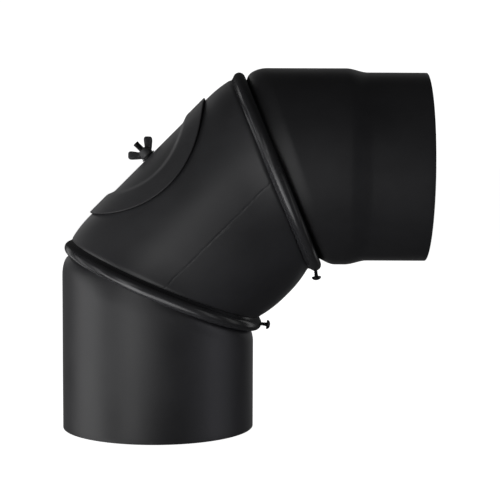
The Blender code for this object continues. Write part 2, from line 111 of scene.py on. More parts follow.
# Hatch and fasteners, as in the CAD
HATCH_HOLE = 0.0485
HATCH_HOLE_SPAN = (0.040, 0.120)
COVER_SHEET = 0.0012
COVER_RADIUS = 0.0802
COVER_HALF_LENGTH = 0.0640
COVER_HALF_GIRTH = 0.0700
COVER_DISH = 0.0023
DISH_FLOOR = 0.0375
DISH_EDGE = 0.0462
DISH_STRETCH = 0.28
BRIDGE_SHEET = 0.0025
BRIDGE_DROP = 0.0536
BOLT_RADIUS = 0.00245
BOLT_TIP = 0.0932
BOLT_PITCH = 0.0008
BOLT_HEAD_RADIUS = 0.0065
BOLT_HEAD_HEIGHT = 0.0030
BOLT_NECK = 0.0048
BOLT_NECK_CORNER = 1.33
BOLT_EDGE = 0.0002
BOLT_CHAMFER = 0.0003
BOLT_CHAMFER_HEIGHT = 0.0005
WASHER_RADIUS = 0.0062
WASHER_SHEET = 0.0010
WASHER_FILLET = 0.0002
NUT_BASE_RADIUS = 0.0055
NUT_TOP_RADIUS = 0.0045
NUT_HEIGHT = 0.0065
NUT_EDGE = 0.0004
NUT_WAIST = (0.0002, 0.0020)
NUT_CROWN = (0.0005, 0.0006)
NUT_BORE_GAP = 0.00012
NUT_BORE_SPAN = (-0.005, 0.030)
WING_LENGTH = 0.0124
WING_WIDTH = 0.0062
WING_THICKNESS = 0.0024
WING_ROOT = (0.0040, 0.0030)
WING_OVERLAP = 0.0015
WING_SPLAY = math.radians(44.0)
WING_TURN = math.radians(22.0)
WING_SQUARENESS = 0.50
WING_BREADTH = 1.05
WING_FLARE = 0.15
WING_THINNING = 0.22
SCREW_SHANK = 0.00155
SCREW_PITCH = 0.0013
SCREW_HEAD = 0.0037
SCREW_HEAD_HEIGHT = 0.0030
SCREW_HEAD_RIM = 0.0007
SCREW_EDGE = 0.0003
SCREW_TIP = 0.0023
SCREW_POINT = 0.0004
SCREW_POINT_BEVEL = (0.0006, 0.0001)
SCREW_NECK = 0.0002
SCREW_HOLE_SPAN = (0.0028, 0.0070)
RECESS_SIZE = (0.0038, 0.0008, 0.0026)
RECESS_NARROWING = 0.45
LOWER_SCREW_STANDOFF = 0.0090
UPPER_SCREW_STANDOFF = 0.0098
FIT_GAP = 0.0003

# Threads: their depths and how far short of the shank's ends they stop, the pitches that they
# fade out over, and the slope and flat crest of their flanks
BOLT_THREAD_DEPTH = 0.00042
BOLT_THREAD_ENDS = (0.0010, 0.0006)
SCREW_THREAD_DEPTH = 0.00038
SCREW_THREAD_ENDS = (0.0005, 0.0004)
THREAD_FADE = 1.5
THREAD_SLOPE = 1.25
THREAD_CREST = 0.12

# Fineness of the visual meshes
AROUND = 200
EDGE_FILLET = 0.00035
EDGE_TURN = (30, 60, 90)
RIM_BAND = 0.0040
LEG_ROWS = 12
SPIGOT_ROWS = 8
SPIGOT_STEP_ROWS = 14
BARREL_ROWS = 34
BOLT_HEAD_TURN = (4, 15, 28, 42, 56, 68, 78, 86)
SCREW_HEAD_TURN = (90, 80, 68, 56, 44, 32, 20, 8)
SHOULDER_STEPS = 16
GROOVE_STEPS = 8
RING_STEPS = 36
RING_SMOOTH = 60.0
SKIRT_ROWS = 8
HATCH_AROUND = 128
DISH_FLOOR_ROWS = 14
DISH_WALL_ROWS = 10
COVER_RIM_ROWS = 12
WING_AROUND = 48
WING_ROWS = 32
NUT_AROUND = 64
NUT_BORE_AROUND = 48
FASTENER_AROUND = 32
FASTENER_SMOOTH = 50.0
BOLT_THREAD_ROWS = 8
SCREW_THREAD_ROWS = 10
NUT_VOXEL = 0.00024
NUT_SOFTENING = 6

# Unevenness of the rolled sheet: its size, its two scales per metre, and how far it leans inwards
DENT_SIZE = 0.00006
DENT_SCALE = 14.0
DENT_FINE_SCALE = 38.0
DENT_FINE_SHARE = 0.4
DENT_LEAN = 0.7

# Weld seam along the middle segment, on the near side: a groove with a small step beside it
SEAM_ANGLE = math.radians(-87.6)
SEAM_DEPTH = 0.00022
SEAM_WIDTH = 0.0007
SEAM_REACH = 5
SEAM_ROWS = 24
SEAM_WANDER = 0.0009
SEAM_WANDER_SCALES = (60.0, 320.0)
SEAM_RIPPLE = 1.6
SEAM_RIPPLE_SCALE = 200.0
SEAM_KINK = 0.050
SEAM_KINK_LENGTH = 0.010

# Tall soft boxes round the object: name, azimuth from the camera, watts, colour, and
# whether they light the outlet too
WHITE = (1.0, 1.0, 1.0)
COOL = (0.92, 0.92, 1.0)
STRIP_ELEVATION = -4.0
STRIP_DISTANCE = 1.6
STRIP_SIZE = (0.35, 1.3)
STRIP_LIGHTS = (
    ("left_edge", -95.0, 3.7, WHITE, True),
    ("left", -75.0, 4.7, WHITE, True),
    ("front_left", -30.0, 4.6, WHITE, True),
    ("front", -15.0, 0.9, WHITE, False),
    ("right_front", 50.0, 0.75, COOL, False),
    ("right", 70.0, 2.4, COOL, True),
    ("right_edge", 90.0, 1.3, COOL, True),
)

# Weaker boxes for the glossy rings
RING_LIGHTS = (
    ("ring_left", -75.0, 2.0),
    ("ring_front_left", -40.0, 3.0),
    ("ring_back_left", -135.0, 1.0),
    ("ring_left_edge", -105.0, 1.5),
    ("ring_right", 60.0, 1.3),
    ("ring_right_edge", 95.0, 0.9),
    ("ring_back_right", 130.0, 0.9),
)

# Soft boxes off to the left: name, azimuth, elevation, distance, size and watts
SOFT_LIGHTS = (
    ("high_left", -25.0, 24.0, 1.6, (0.5, 0.5), 0.65),
    ("low_left", -60.0, -38.0, 1.5, (0.7, 0.7), 2.6),
)

# Rim lights behind the object: name, azimuth, elevation, size and watts
BACK_DISTANCE = 1.5
BACK_ASPECT = 0.8
BACK_LIGHTS = (
    ("back_left", -140.0, 20.0, 0.9, 0.8),
    ("back_right", 140.0, 20.0, 0.9, 2.0),
    ("backdrop", 180.0, 5.0, 2.4, 3.4),
)

# White table and backdrop
TABLE_LIGHT_LIFT = 0.004
FLOOR_DROP = 0.0005
FLOOR_SIZE = 12.0
FLOOR_GLOW = 0.985
BACKDROP_GLOW = 1.1
AMBIENT_GLOW = 0.034

# Camera
VIEW_TARGET = Vector((0.0055, 0.0, 0.1424))
VIEW_DISTANCE = 1.1227
VIEW_ELEVATION = math.radians(4.46)
VIEW_AZIMUTH = math.radians(-0.50)
VIEW_ROLL = math.radians(0.24)
LENS = 100.8
SENSOR = 36.0


def joint_named(name):
    return next(joint for joint in frame["joints"] if joint["name"] == name)


def frame_on(origin, axis):
    """Frame at a point with its Z along an axis in the XZ plane and its Y across the bend."""
    up = Vector(axis).normalized()
    across = Vector((0.0, 1.0, 0.0))
    side = across.cross(up)
    turn = Matrix((side, across, up)).transposed()
    return Matrix.Translation(Vector(origin)) @ turn.to_4x4()


def frame_of(name):
    joint = joint_named(name)
    return frame_on(joint.get("pos_m", (0.0, 0.0, 0.0)), joint["axis"])


LOWER_JOINT = frame_of("lower_swivel")
UPPER_JOINT = frame_of("upper_swivel")
HATCH_FRAME = frame_of("bridge_turn")
LOWER_SCREW = frame_of("lower_screw_turn")
UPPER_SCREW = frame_of("upper_screw_turn")

LOWER_CROSSING = LOWER_JOINT @ Vector((-JOINT_SHIFT, 0.0, 0.0))
UPPER_CROSSING = UPPER_JOINT @ Vector((-JOINT_SHIFT, 0.0, 0.0))
OUTLET_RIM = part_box("outlet_pipe")[1].x
INLET_LENGTH = LOWER_CROSSING.z
OUTLET_LENGTH = OUTLET_RIM - UPPER_CROSSING.x
MIDDLE_LENGTH = (UPPER_CROSSING - LOWER_CROSSING).length
MIDDLE_AXIS = (UPPER_CROSSING - LOWER_CROSSING).normalized()

INLET_FRAME = frame_on((LOWER_CROSSING.x, 0.0, 0.0), (0.0, 0.0, 1.0))
MIDDLE_FRAME = frame_on((LOWER_CROSSING + UPPER_CROSSING) / 2, MIDDLE_AXIS)
MIDDLE_FRAME = MIDDLE_FRAME @ Matrix.Translation((MIDDLE_SHIFT, 0.0, 0.0))
OUTLET_FRAME = frame_on((OUTLET_RIM, 0.0, UPPER_CROSSING.z), (-1.0, 0.0, 0.0))
OUTLET_FRAME = OUTLET_FRAME @ Matrix.Rotation(math.pi, 4, "Z")
DISH_TOP = COVER_RADIUS - COVER_DISH


# Mesh helpers

def even_angles(count):
    return [2 * math.pi * k / count for k in range(count)]


def ring_row(radius, height, count):
    angles = even_angles(count)
    return [Vector((radius * math.cos(a), radius * math.sin(a), height)) for a in angles]


def new_object(name, mesh, smooth_angle=40.0):
    item = bpy.data.objects.new(name, mesh)
    bpy.context.scene.collection.objects.link(item)
    mesh.shade_smooth()
    mesh.set_sharp_from_angle(angle=math.radians(smooth_angle))
    return item


def skin(name, rows, placed, loop=False, cap_low=False, cap_high=False):
    """Mesh over rows of points that each go once around. loop joins the last row to the first."""
    shape = bmesh.new()
    grid = [[shape.verts.new(point) for point in row] for row in rows]
    pairs = list(zip(grid, grid[1:]))
    if loop:
        pairs.append((grid[-1], grid[0]))
    for lower, upper in pairs:
        for k in range(len(lower)):
            after = (k + 1) % len(lower)
            shape.faces.new((lower[k], lower[after], upper[after], upper[k]))
    if cap_low:
        shape.faces.new(reversed(grid[0]))
    if cap_high:
        shape.faces.new(grid[-1])
    bmesh.ops.recalc_face_normals(shape, faces=shape.faces)
    shape.transform(placed)
    mesh = bpy.data.meshes.new(name)
    shape.to_mesh(mesh)
    shape.free()
    return mesh


def turned(name, profile, placed, count, loop=False):
    """Turned solid from (radius, height) points. An open profile has its ends closed by caps."""
    rows = [ring_row(radius, height, count) for radius, height in profile]
    return skin(name, rows, placed, loop, not loop, not loop)


def arc(centre, radius, start, end, steps):
    """Points of an arc in a profile, with its angles in degrees."""
    points = []
    for k in range(steps + 1):
        angle = math.radians(start + (end - start) * k / steps)
        x = centre[0] + radius * math.cos(angle)
        y = centre[1] + radius * math.sin(angle)
        points.append((x, y))
    return points


def bezier(start, start_handle, end_handle, end, steps):
    points = []
    for k in range(1, steps):
        t = k / steps
        s = 1 - t
        points.append(
            s ** 3 * start
            + 3 * s * s * t * start_handle
            + 3 * s * t * t * end_handle
            + t ** 3 * end
        )
    return points


def row_normals(rows):
    """Unit normals of a grid, pointing away from the axis that its rows go around."""
    count = len(rows[0])
    normals = []
    for i, row in enumerate(rows):
        before = rows[max(i - 1, 0)]
        after = rows[min(i + 1, len(rows) - 1)]
        line = []
        for k in range(count):
            along = after[k] - before[k]
            around = row[(k + 1) % count] - row[k - 1]
            line.append(around.cross(along).normalized())
        normals.append(line)
    return normals


def sheet_rows(outer, normals, sheet, ends):
    """Closed loop of rows: the outer skin, a rounded edge, the inner skin and the other edge.

    ends gives, for the first and the last row, the direction in which the edge looks.
    """
    def edge(row, line, direction):
        curve = []
        for degrees in EDGE_TURN:
            angle = math.radians(degrees)
            sink = EDGE_FILLET * (1 - math.cos(angle))
            lift = EDGE_FILLET * math.sin(angle)
            curve.append((sink, lift))
        curve += [(sheet - sink, lift) for sink, lift in reversed(curve)]
        places = list(zip(row, line, direction))
        return [
            [point - normal * sink + look * lift for point, normal, look in places]
            for sink, lift in curve
        ]

    inner = [
        [point - normal * sheet for point, normal in zip(row, line)]
        for row, line in zip(outer, normals)
    ]
    high = edge(outer[-1], normals[-1], ends[1])
    low = edge(outer[0], normals[0], ends[0])
    return outer + high + inner[::-1] + low[::-1]


def edge_directions(rows):
    """Directions in which the two edges of a sheet look, for its first and its last row."""
    return (
        [(a - b).normalized() for a, b in zip(rows[0], rows[1])],
        [(a - b).normalized() for a, b in zip(rows[-1], rows[-2])],
    )


def cut(item, cutter, crossing_parts=False):
    """Boolean difference, applied, after which the cutter is gone.

    crossing_parts says that the cutter is made of parts that cross one another.
    """
    modifier = item.modifiers.new("cut", "BOOLEAN")
    modifier.operation = "DIFFERENCE"
    modifier.solver = "EXACT"
    modifier.use_self = crossing_parts
    modifier.object = cutter
    apply_modifiers(item)
    bpy.data.objects.remove(cutter, do_unlink=True)


def cut_bore(item, name, radius, span, placed, count):
    """Cuts a round hole between the two heights of span."""
    bore = turned(name, [(radius, height) for height in span], placed, count)
    cut(item, new_object(name, bore))


def apply_modifiers(item):
    bpy.context.view_layer.update()
    finished = item.evaluated_get(bpy.context.evaluated_depsgraph_get())
    result = bpy.data.meshes.new_from_object(finished)
    item.modifiers.clear()
    item.data = result


# Pipes

def collar_profile():
    """Outer skin from the flange's edge round the groove, about the joint's axis."""
    face = FLANGE_GAP + SHEET
    centre = (GROOVE_RADIUS + GROOVE_FILLET, face + GROOVE_FILLET)
    flange = [(FLANGE_RADIUS - EDGE_FILLET, face), (FLANGE_MIDDLE, face)]
    return flange + arc(centre, GROOVE_FILLET, *GROOVE_ARC, GROOVE_STEPS)


def segment_end(wall_point, wall_direction, crossing, foot, stretch, angles):
    """Points of one skin line, for each angle, from the pipe wall to the flange's edge."""
    normal = Vector((math.sin(BEND), 0.0, math.cos(BEND)))
    throat = Vector((math.cos(BEND), 0.0, -math.sin(BEND)))
    centre = crossing + throat * JOINT_SHIFT
    lines = []
    for angle in angles:
        radial = throat * math.cos(angle) + Vector((0.0, math.sin(angle), 0.0))
        profile = collar_profile() + [foot(angle)]
        collar = [centre + radial * radius - normal * height for radius, height in profile]
        leave = wall_point(angle)
        arrive = collar[-1]
        reach = (arrive - leave).length * stretch
        into = (collar[-2] - arrive).normalized()
        start_handle = leave + wall_direction(angle) * reach
        end_handle = arrive - into * reach
        shoulder = bezier(leave, start_handle, end_handle, arrive, SHOULDER_STEPS)
        lines.append([leave, *shoulder, arrive, *reversed(collar[:-1])])
    return [list(row) for row in zip(*lines)]


def dent(point):
    """Slight unevenness of rolled sheet, as a height in metres, mostly inwards."""
    fine = noise.noise(point * DENT_FINE_SCALE + Vector((7.0, 3.0, 1.0)))
    return DENT_SIZE * (noise.noise(point * DENT_SCALE) + DENT_FINE_SHARE * fine - DENT_LEAN)


def leg_foot(angle):
    """End of a leg's shoulder, which draws in at the sides."""
    waist = LEG_FOOT_WAIST * math.sin(angle) ** 2 * (1 - LEG_FOOT_LEAN * math.cos(angle))
    return (LEG_FOOT[0] - waist, LEG_FOOT[1])


def make_leg(name, length, radius, wall, placed):
    """Leg with its rim at Z = 0 and its joint at the top.

    wall lists (radius, height) up from the rim.
    """
    angles = even_angles(AROUND)

    def wall_top(angle):
        mitre = length - radius * math.tan(BEND) * math.cos(angle)
        return mitre - (LEG_SHOULDER - LEG_SHOULDER_SWING * math.cos(angle))

    def on_wall(angle, height):
        return Vector((radius * math.cos(angle), radius * math.sin(angle), height))

    end = segment_end(
        lambda angle: on_wall(angle, wall_top(angle)),
        lambda angle: Vector((0.0, 0.0, 1.0)),
        Vector((0.0, 0.0, length)),
        leg_foot,
        LEG_STRETCH,
        angles,
    )
    base = wall[-1][1]
    straight = [ring_row(r, height, AROUND) for r, height in wall]
    for k in range(1, LEG_ROWS):
        share = k / LEG_ROWS
        straight.append([on_wall(a, base + (wall_top(a) - base) * share) for a in angles])
    return skin_of_sheet(name, straight + end, placed)


def skin_of_sheet(name, outer, placed):
    """Solid sheet, slightly uneven, under an outer skin that runs from one edge to the other."""
    for row, line in zip(outer, row_normals(outer)):
        for k, normal in enumerate(line):
            row[k] = row[k] + normal * dent(placed @ row[k])
    rows = sheet_rows(outer, row_normals(outer), SHEET, edge_directions(outer))
    return skin(name, rows, placed, loop=True)


def make_inlet():
    wall = [(INLET_RADIUS, EDGE_FILLET), (INLET_RADIUS, RIM_BAND)]
    mesh = make_leg("inlet_leg", INLET_LENGTH, INLET_RADIUS, wall, INLET_FRAME)
    return new_object("inlet_leg", mesh)


def make_outlet():
    wall = [(SPIGOT_RADIUS, EDGE_FILLET), (SPIGOT_RADIUS, RIM_BAND)]
    for k in range(1, SPIGOT_ROWS + 1):
        wall.append((SPIGOT_RADIUS, RIM_BAND + (SPIGOT_LENGTH - RIM_BAND) * k / SPIGOT_ROWS))
    for k in range(1, SPIGOT_STEP_ROWS + 1):
        share = (1 - math.cos(math.pi * k / SPIGOT_STEP_ROWS)) / 2
        radius = SPIGOT_RADIUS + (OUTLET_RADIUS - SPIGOT_RADIUS) * share
        wall.append((radius, SPIGOT_LENGTH + SPIGOT_STEP * k / SPIGOT_STEP_ROWS))
    mesh = make_leg("outlet_leg", OUTLET_LENGTH, OUTLET_RADIUS, wall, OUTLET_FRAME)
    return new_object("outlet_leg", mesh)


def seam_angles():
    """Even angles round the pipe, with more of them across the weld seam."""
    half = SEAM_REACH * SEAM_WIDTH / MIDDLE_RADIUS
    centre = SEAM_ANGLE % (2 * math.pi)
    angles = [a for a in even_angles(AROUND) if abs(a - centre) > half]
    angles += [centre + half * (2 * k / SEAM_ROWS - 1) for k in range(SEAM_ROWS + 1)]
    return sorted(angles)


def seam_depth(angle, along):
    """Depth of the weld seam and its step. It wanders a little and its depth varies along it."""
    long_scale, short_scale = SEAM_WANDER_SCALES
    off = (angle - SEAM_ANGLE % (2 * math.pi)) * MIDDLE_RADIUS
    off += SEAM_WANDER * noise.noise(Vector((along * long_scale, 2.0, 5.0)))
    off += SEAM_WANDER * noise.noise(Vector((along * short_scale, 6.0, 1.0)))
    ripple = 1.0 + SEAM_RIPPLE * noise.noise(Vector((along * SEAM_RIPPLE_SCALE, 9.0, 4.0)))
    kink = SEAM_KINK * max(off, 0.0) * math.exp(-max(off, 0.0) / SEAM_KINK_LENGTH)
    return SEAM_DEPTH * ripple * math.exp(-((off / SEAM_WIDTH) ** 2)) + kink


def middle_mitre(angle):
    """Length of the wall from the waist to the joint's plane."""
    return MIDDLE_LENGTH / 2 - (MIDDLE_RADIUS * math.cos(angle) + MIDDLE_SHIFT) * math.tan(BEND)


def middle_foot(angle):
    """Where the middle segment turns in under the ring, about the joint's axis."""
    swing = MIDDLE_FOOT_SWING * math.cos(angle) + MIDDLE_FOOT_WAIST * math.sin(angle) ** 2
    return (MIDDLE_FOOT[0] - swing, MIDDLE_FOOT[1])


def middle_wall(angle, distance):
    """Point on the lower half of the slight barrel, a distance short of the joint's plane."""
    share = max(0.0, MIDDLE_TAPER_LENGTH - distance) / MIDDLE_TAPER_LENGTH
    relief = 1 - MIDDLE_TAPER_RELIEF * math.sin(angle) ** 2
    taper = MIDDLE_TAPER * relief * share ** MIDDLE_TAPER_POWER
    height = distance - middle_mitre(angle)
    radius = MIDDLE_RADIUS - taper - seam_depth(angle, height)
    return Vector((radius * math.cos(angle), radius * math.sin(angle), height))


def make_middle():
    angles = seam_angles()
    mirror = Matrix.Scale(-1.0, 4, (0.0, 0.0, 1.0))

    def shoulder(angle):
        return MIDDLE_SHOULDER - MIDDLE_SHOULDER_SWING * math.cos(angle)

    def towards_joint(angle):
        start = shoulder(angle)
        return (middle_wall(angle, start) - middle_wall(angle, start + SHEET)).normalized()

    end = segment_end(
        lambda angle: mirror @ middle_wall(angle, shoulder(angle)),
        lambda angle: mirror @ towards_joint(angle),
        Vector((-MIDDLE_SHIFT, 0.0, MIDDLE_LENGTH / 2)),
        middle_foot,
        MIDDLE_STRETCH,
        angles,
    )
    waist = []
    for k in range(BARREL_ROWS):
        share = k / BARREL_ROWS
        row = []
        for angle in angles:
            mitre = middle_mitre(angle)
            distance = mitre + (shoulder(angle) - mitre) * share
            row.append(mirror @ middle_wall(angle, distance))
        waist.append(row)
    upper = waist + end
    lower = [[mirror @ point for point in row] for row in reversed(upper[1:])]
    mesh = skin_of_sheet("middle_segment", lower + upper, MIDDLE_FRAME)
    item = new_object("middle_segment", mesh)
    cut_bore(item, "hatch_hole", HATCH_HOLE, HATCH_HOLE_SPAN, HATCH_FRAME, HATCH_AROUND)
    return item


# Rings

def skirt_rows(middle_side):
    """Closed rows of the ring's skirt, from the ring's crown down to a lip on the middle segment.

    middle_side is +1 or -1, the side of the joint's plane that the middle segment is on.
    """
    crown = math.radians(SKIRT_ANGLE)
    top = (RING_RADIUS + RING_SECTION * math.cos(crown), RING_SECTION * math.sin(crown))
    lines = []
    for angle in even_angles(AROUND):
        lip = (middle_foot(angle)[0] + SKIRT_RISE, SKIRT_REACH)
        slope = Vector((lip[0] - top[0], lip[1] - top[1])).normalized()
        down = Vector((-slope.y, slope.x))
        if down.x > 0:
            down = -down
        line = []
        for k in range(SKIRT_ROWS + 1):
            share = k / SKIRT_ROWS
            sag = SKIRT_SAG * math.sin(math.pi * share)
            line.append(Vector(top).lerp(Vector(lip), share) + down * sag)
        edge = [line[-1] + slope * 0.5 * SKIRT_SHEET + down * 0.5 * SKIRT_SHEET]
        under = [point + down * SKIRT_SHEET for point in reversed(line)]
        loop = line + edge + under
        radial = Vector((math.cos(angle), math.sin(angle), 0.0))
        lines.append([radial * p.x + Vector((0.0, 0.0, middle_side * p.y)) for p in loop])
    return [list(row) for row in zip(*lines)]


def make_ring(name, placed, screw_frame, middle_side):
    """Rolled ring of C section, open inwards, with a skirt on the middle segment's side.

    The roll is cut for its screw before the skirt is joined to it.
    """
    hollow = RING_SECTION - RING_SHEET
    outer = arc((RING_RADIUS, 0.0), RING_SECTION, RING_WRAP, -RING_WRAP, RING_STEPS)
    inner = arc((RING_RADIUS, 0.0), hollow, -RING_WRAP, RING_WRAP, RING_STEPS)
    roll = turned(name, outer + inner, placed, AROUND, loop=True)
    item = new_object(name, roll, RING_SMOOTH)
    hole = SCREW_SHANK + FIT_GAP
    cut_bore(item, "hole", hole, SCREW_HOLE_SPAN, screw_frame, FASTENER_AROUND)
    both = bmesh.new()
    both.from_mesh(item.data)
    both.from_mesh(skin("skirt", skirt_rows(middle_side), placed, loop=True))
    both.to_mesh(item.data)
    both.free()
    item.data.shade_smooth()
    item.data.set_sharp_from_angle(angle=math.radians(RING_SMOOTH))
    return item


# Hatch

def bent(share, angle, height):
    """Point on the hatch cover, in the hatch's frame."""
    reach = share + DISH_STRETCH * share * (1 - share) * math.sin(angle) ** 2
    turn = COVER_HALF_GIRTH * reach * math.sin(angle) / MIDDLE_RADIUS
    along = COVER_HALF_LENGTH * reach * math.cos(angle)
    return Vector((along, height * math.sin(turn), height * math.cos(turn)))


def make_cover():
    floor = DISH_FLOOR / COVER_HALF_LENGTH
    edge = DISH_EDGE / COVER_HALF_LENGTH
    hole = (BOLT_RADIUS + FIT_GAP + EDGE_FILLET) / COVER_HALF_LENGTH
    angles = even_angles(AROUND)[::-1]
    shares = [hole]
    for low, high, steps in (
        (hole, floor, DISH_FLOOR_ROWS), (floor, edge, DISH_WALL_ROWS), (edge, 1, COVER_RIM_ROWS),
    ):
        shares += [low + (high - low) * k / steps for k in range(1, steps + 1)]
    rows = []
    for share in shares:
        climb = min(1.0, max(0.0, (share - floor) / (edge - floor)))
        smooth = climb * climb * (3 - 2 * climb)
        rows.append([bent(share, a, DISH_TOP + COVER_DISH * smooth) for a in angles])
    plate = sheet_rows(rows, row_normals(rows), COVER_SHEET, edge_directions(rows))
    return new_object("cover_plate", skin("cover_plate", plate, HATCH_FRAME, loop=True))


def make_washer():
    low = DISH_TOP + FIT_GAP
    hole = BOLT_RADIUS + FIT_GAP
    edge = WASHER_RADIUS - WASHER_FILLET
    profile = [(hole, low), (edge, low)]
    profile += arc((edge, low + WASHER_FILLET), WASHER_FILLET, -60, 0, 2)
    profile += arc((edge, low + WASHER_SHEET - WASHER_FILLET), WASHER_FILLET, 0, 90, 3)
    profile += [(hole, low + WASHER_SHEET)]
    washer = turned("plain_washer", profile, HATCH_FRAME, NUT_AROUND, loop=True)
    return new_object("plain_washer", washer)


def thread_rows(radius, depth, pitch, low, high, count, steps):
    """Rows of a screw thread: the radius dips once a pitch, and the dip climbs round the axis."""
    rows = []
    total = max(2, int((high - low) / pitch * steps))
    fade = THREAD_FADE * pitch
    for i in range(total + 1):
        height = low + (high - low) * i / total
        ease = min(1.0, (height - low) / fade, (high - height) / fade)
        row = []
        for angle in even_angles(count):
            phase = (height / pitch - angle / (2 * math.pi)) % 1.0
            dip = 1 - abs(2 * phase - 1)
            cut_in = depth * max(0.0, min(1.0, THREAD_SLOPE * dip - THREAD_CREST)) * ease
            reach = radius - cut_in
            row.append(Vector((reach * math.cos(angle), reach * math.sin(angle), height)))
        rows.append(row)
    return rows


def make_bolt():
    """Carriage bolt: domed head, square neck and an M5 thread up to its chamfered end."""
    count = FASTENER_AROUND
    seat = BRIDGE_DROP - BRIDGE_SHEET - FIT_GAP
    neck_top = seat + BRIDGE_SHEET + FIT_GAP
    rows = []
    for degrees in BOLT_HEAD_TURN:
        angle = math.radians(degrees)
        height = seat - BOLT_HEAD_HEIGHT * math.cos(angle)
        rows.append(ring_row(BOLT_HEAD_RADIUS * math.sin(angle), height, count))
    rows.append(ring_row(BOLT_HEAD_RADIUS, seat - BOLT_EDGE, count))
    rows.append(ring_row(BOLT_HEAD_RADIUS - BOLT_EDGE, seat, count))
    square = []
    half = BOLT_NECK / 2
    for angle in even_angles(count):
        flat = half / max(abs(math.cos(angle)), abs(math.sin(angle)))
        reach = min(flat, half * BOLT_NECK_CORNER)
        square.append((reach * math.cos(angle), reach * math.sin(angle)))
    rows.append([Vector((x, y, seat)) for x, y in square])
    rows.append([Vector((x, y, neck_top)) for x, y in square])
    rows.append(ring_row(BOLT_RADIUS, neck_top + BOLT_EDGE, count))
    rows += thread_rows(
        BOLT_RADIUS, BOLT_THREAD_DEPTH, BOLT_PITCH,
        neck_top + BOLT_THREAD_ENDS[0], BOLT_TIP - BOLT_THREAD_ENDS[1], count, BOLT_THREAD_ROWS,
    )
    rows.append(ring_row(BOLT_RADIUS - BOLT_CHAMFER / 2, BOLT_TIP - BOLT_CHAMFER_HEIGHT, count))
    rows.append(ring_row(BOLT_RADIUS - BOLT_CHAMFER, BOLT_TIP, count))
    mesh = skin("carriage_bolt", rows, HATCH_FRAME, cap_low=True, cap_high=True)
    return new_object("carriage_bolt", mesh, FASTENER_SMOOTH)


def wing_mesh(side, base):
    """One wing: a flat lobe with a rounded outline, wider at its end and thicker at its root."""
    shape = bmesh.new()
    bmesh.ops.create_uvsphere(shape, u_segments=WING_AROUND, v_segments=WING_ROWS, radius=1.0)
    for vert in shape.verts:
        x, y, z = vert.co
        x = math.copysign(abs(x) ** WING_SQUARENESS, x)
        z = math.copysign(abs(z) ** WING_SQUARENESS, z)
        waist = WING_BREADTH + WING_FLARE * math.sin(math.pi * 0.5 * max(-1.0, min(1.0, z)))
        thick = 1.0 - WING_THINNING * z
        vert.co = (
            x * WING_WIDTH / 2 * waist, y * WING_THICKNESS / 2 * thick, z * WING_LENGTH / 2,
        )
    lift = Matrix.Translation((side * WING_ROOT[0], 0.0, base + WING_ROOT[1]))
    lean = Matrix.Rotation(side * WING_SPLAY, 4, "Y")
    out = Matrix.Translation((0.0, 0.0, WING_LENGTH / 2 - WING_OVERLAP))
    shape.transform(lift @ lean @ out)
    return shape


def make_wing_nut():
    """Cast wing nut: hub and wings melted together by a fine remesh, then bored."""
    base = DISH_TOP + WASHER_SHEET + 2 * FIT_GAP
    top = base + NUT_HEIGHT
    profile = [
        (NUT_BASE_RADIUS - NUT_EDGE, base),
        (NUT_BASE_RADIUS, base + NUT_EDGE),
        (NUT_BASE_RADIUS - NUT_WAIST[0], base + NUT_WAIST[1]),
        (NUT_TOP_RADIUS, top - NUT_CROWN[1]),
        (NUT_TOP_RADIUS - NUT_CROWN[0], top),
    ]
    whole = bmesh.new()
    whole.from_mesh(turned("hub", profile, Matrix.Identity(4), NUT_AROUND))
    for side in (1, -1):
        wing = wing_mesh(side, base)
        mesh = bpy.data.meshes.new("wing")
        wing.to_mesh(mesh)
        wing.free()
        whole.from_mesh(mesh)
    mesh = bpy.data.meshes.new("wing_nut_casting")
    whole.to_mesh(mesh)
    whole.free()
    item = new_object("wing_nut_casting", mesh)
    remesh = item.modifiers.new("melt", "REMESH")
    remesh.mode = "VOXEL"
    remesh.voxel_size = NUT_VOXEL
    smooth = item.modifiers.new("soften", "SMOOTH")
    smooth.iterations = NUT_SOFTENING
    smooth.factor = 0.5
    apply_modifiers(item)
    item.data.transform(HATCH_FRAME @ Matrix.Rotation(WING_TURN, 4, "Z"))
    item.data.shade_smooth()
    span = [base + height for height in NUT_BORE_SPAN]
    cut_bore(item, "bore", BOLT_RADIUS + NUT_BORE_GAP, span, HATCH_FRAME, NUT_BORE_AROUND)
    item.data.set_sharp_from_angle(angle=math.radians(FASTENER_SMOOTH))
    return item


def make_screw(name, standoff, placed):
    """Pan-head sheet screw with a cross recess."""
    count = FASTENER_AROUND
    rows = [
        ring_row(SCREW_POINT, SCREW_TIP, count),
        ring_row(SCREW_SHANK - SCREW_POINT_BEVEL[0], SCREW_TIP + SCREW_POINT_BEVEL[1], count),
    ]
    rows += thread_rows(
        SCREW_SHANK, SCREW_THREAD_DEPTH, SCREW_PITCH,
        SCREW_TIP + SCREW_THREAD_ENDS[0], standoff - SCREW_THREAD_ENDS[1], count, SCREW_THREAD_ROWS,
    )
    rows.append(ring_row(SCREW_SHANK, standoff - SCREW_NECK, count))
    rows.append(ring_row(SCREW_SHANK + SCREW_EDGE, standoff, count))
    rows.append(ring_row(SCREW_HEAD - SCREW_EDGE, standoff, count))
    rows.append(ring_row(SCREW_HEAD, standoff + SCREW_EDGE, count))
    for degrees in SCREW_HEAD_TURN:
        angle = math.radians(degrees)
        dome = (SCREW_HEAD_HEIGHT - SCREW_HEAD_RIM) * math.cos(angle)
        rows.append(ring_row(SCREW_HEAD * math.sin(angle), standoff + SCREW_HEAD_RIM + dome, count))
    mesh = skin(name, rows, placed, cap_low=True, cap_high=True)
    item = new_object(name, mesh, FASTENER_SMOOTH)
    crown = placed @ Matrix.Translation((0.0, 0.0, standoff + SCREW_HEAD_HEIGHT))
    cut(item, new_object("recess", cross_recess(crown)), crossing_parts=True)
    return item


